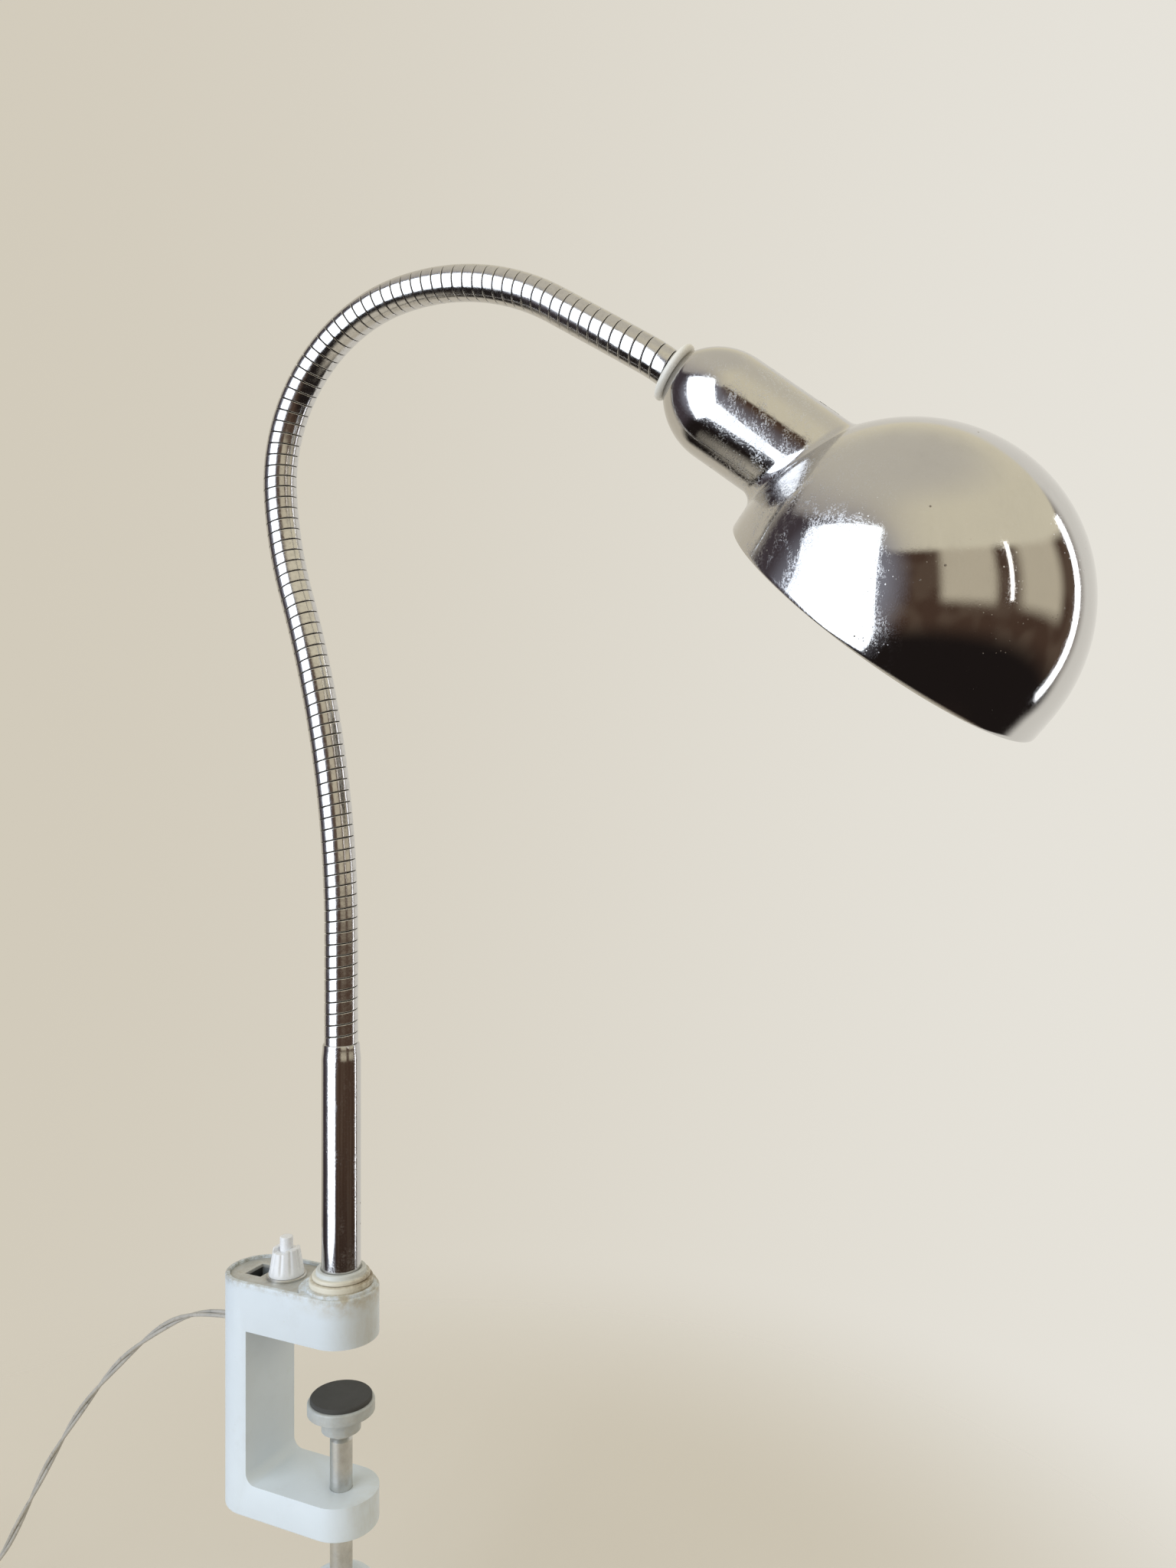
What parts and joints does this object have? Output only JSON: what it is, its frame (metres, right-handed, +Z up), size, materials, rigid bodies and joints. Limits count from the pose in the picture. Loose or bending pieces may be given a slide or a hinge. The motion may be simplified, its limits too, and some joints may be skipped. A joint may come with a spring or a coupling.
{
  "type": "clamp-on gooseneck desk lamp",
  "caption": "Clamp-on desk lamp: a chromed dome shade on a bendable ribbed neck and straight column, with a push switch and a twisted cord at the clamp.",
  "frame": {"origin": "on the seat of the upper jaw, the face that rests on the table top, at the column's axis", "axes": "+Z up along the column; +X out along the jaws, towards the shade; +Y to the lamp's left"},
  "size_m": [0.5466, 0.1838, 0.5251],
  "materials": {
    "clamp_plastic": "aged light grey moulding",
    "plate_metal": "grey lacquer, worn and dusty",
    "switch_plastic": "white moulding",
    "bakelite": "dark thermoset",
    "plated_steel": "zinc plated",
    "brass": "bare, slightly tarnished",
    "cream_plastic": "yellowed ivory moulding",
    "chrome": "bright chrome plating",
    "hose_chrome": "chrome plated wound strip",
    "white_ring": "white moulding",
    "pad_steel": "grey lacquer",
    "liner_felt": "dark soft liner",
    "cord_grey": "grey twisted pair",
    "plug_grey": "grey moulding",
    "glass": "opal envelope",
    "tie": "black band"
  },
  "bodies": {
    "clamp": {"clamp_body": "clamp_plastic", "top_plate": "plate_metal", "cord_grommet": "cream_plastic", "switch_body": "bakelite", "switch_terminals": "brass", "switch_washer": "plated_steel", "switch_nut": "switch_plastic", "button_spring": "plated_steel", "tube_bush": "cream_plastic", "cord_lead": "cord_grey", "cord_coil": "cord_grey", "coil_tie": "tie", "cord_tail": "cord_grey", "plug_body": "plug_grey", "plug_pins": "plated_steel"},
    "button": {"switch_button": "switch_plastic"},
    "pad": {"swivel_pad": "pad_steel", "pad_liner": "liner_felt"},
    "screw": {"clamp_screw": "plated_steel", "screw_knob": "clamp_plastic"},
    "column": {"column_tube": "chrome", "column_collar": "cream_plastic", "column_clip": "plated_steel", "neck_foot": "hose_chrome"},
    "link_1": {"neck_link_1": "hose_chrome"},
    "link_2": {"neck_link_2": "hose_chrome"},
    "link_3": {"neck_link_3": "hose_chrome"},
    "link_4": {"neck_link_4": "hose_chrome"},
    "head": {"neck_end": "hose_chrome", "neck_ring": "white_ring", "neck_nipple": "brass", "socket_cover": "chrome", "shade": "chrome", "holder_cap": "bakelite", "lampholder": "bakelite", "holder_ring": "bakelite", "lamp_shell": "brass", "lamp_contact": "brass", "lamp_cap": "brass", "lamp_glass": "glass"}
  },
  "joints": [
    {"name": "column_turn", "type": "hinge", "parent": "clamp", "child": "column", "pos_m": [0, 0, 0.05], "axis": [0, 0, 1], "range_deg": [-150, 150]},
    {"name": "neck_bend_1", "type": "hinge", "parent": "column", "child": "link_1", "pos_m": [-0.00001, 0, 0.1453], "axis": [-1, 0, -0.0076], "range_deg": [-20, 20]},
    {"name": "neck_bend_2", "type": "hinge", "parent": "link_1", "child": "link_2", "pos_m": [-0.00917, 0, 0.22664], "axis": [0, 1, 0], "range_deg": [-20, 20]},
    {"name": "neck_bend_3", "type": "hinge", "parent": "link_2", "child": "link_3", "pos_m": [-0.02754, 0, 0.30633], "axis": [0, 1, 0], "range_deg": [-20, 20]},
    {"name": "neck_bend_4", "type": "hinge", "parent": "link_3", "child": "link_4", "pos_m": [0.01816, 0, 0.36697], "axis": [0, 1, 0], "range_deg": [-20, 20]},
    {"name": "neck_bend_5", "type": "hinge", "parent": "link_4", "child": "head", "pos_m": [0.09534, 0, 0.34852], "axis": [0.5476, 0, 0.8368], "range_deg": [-20, 20]},
    {"name": "button_push", "type": "slide", "parent": "clamp", "child": "button", "axis": [0, 0, -1], "range_m": [0, 0.0025], "stiffness_N_per_m": 300, "springref_m": -0.003, "deforming": ["button_spring"]},
    {"name": "pad_rise", "type": "slide", "parent": "clamp", "child": "pad", "axis": [0, 0, 1], "range_m": [-0.0205, 0.0175]},
    {"name": "screw_turn", "type": "hinge", "parent": "pad", "child": "screw", "pos_m": [0, 0, -0.06], "axis": [0, 0, 1], "range_deg": [-2956, 2524]}
  ],
  "couplings": [
    {"joint": "screw_turn", "follows": "pad_rise", "rad_per_m": 2513.3}
  ]
}
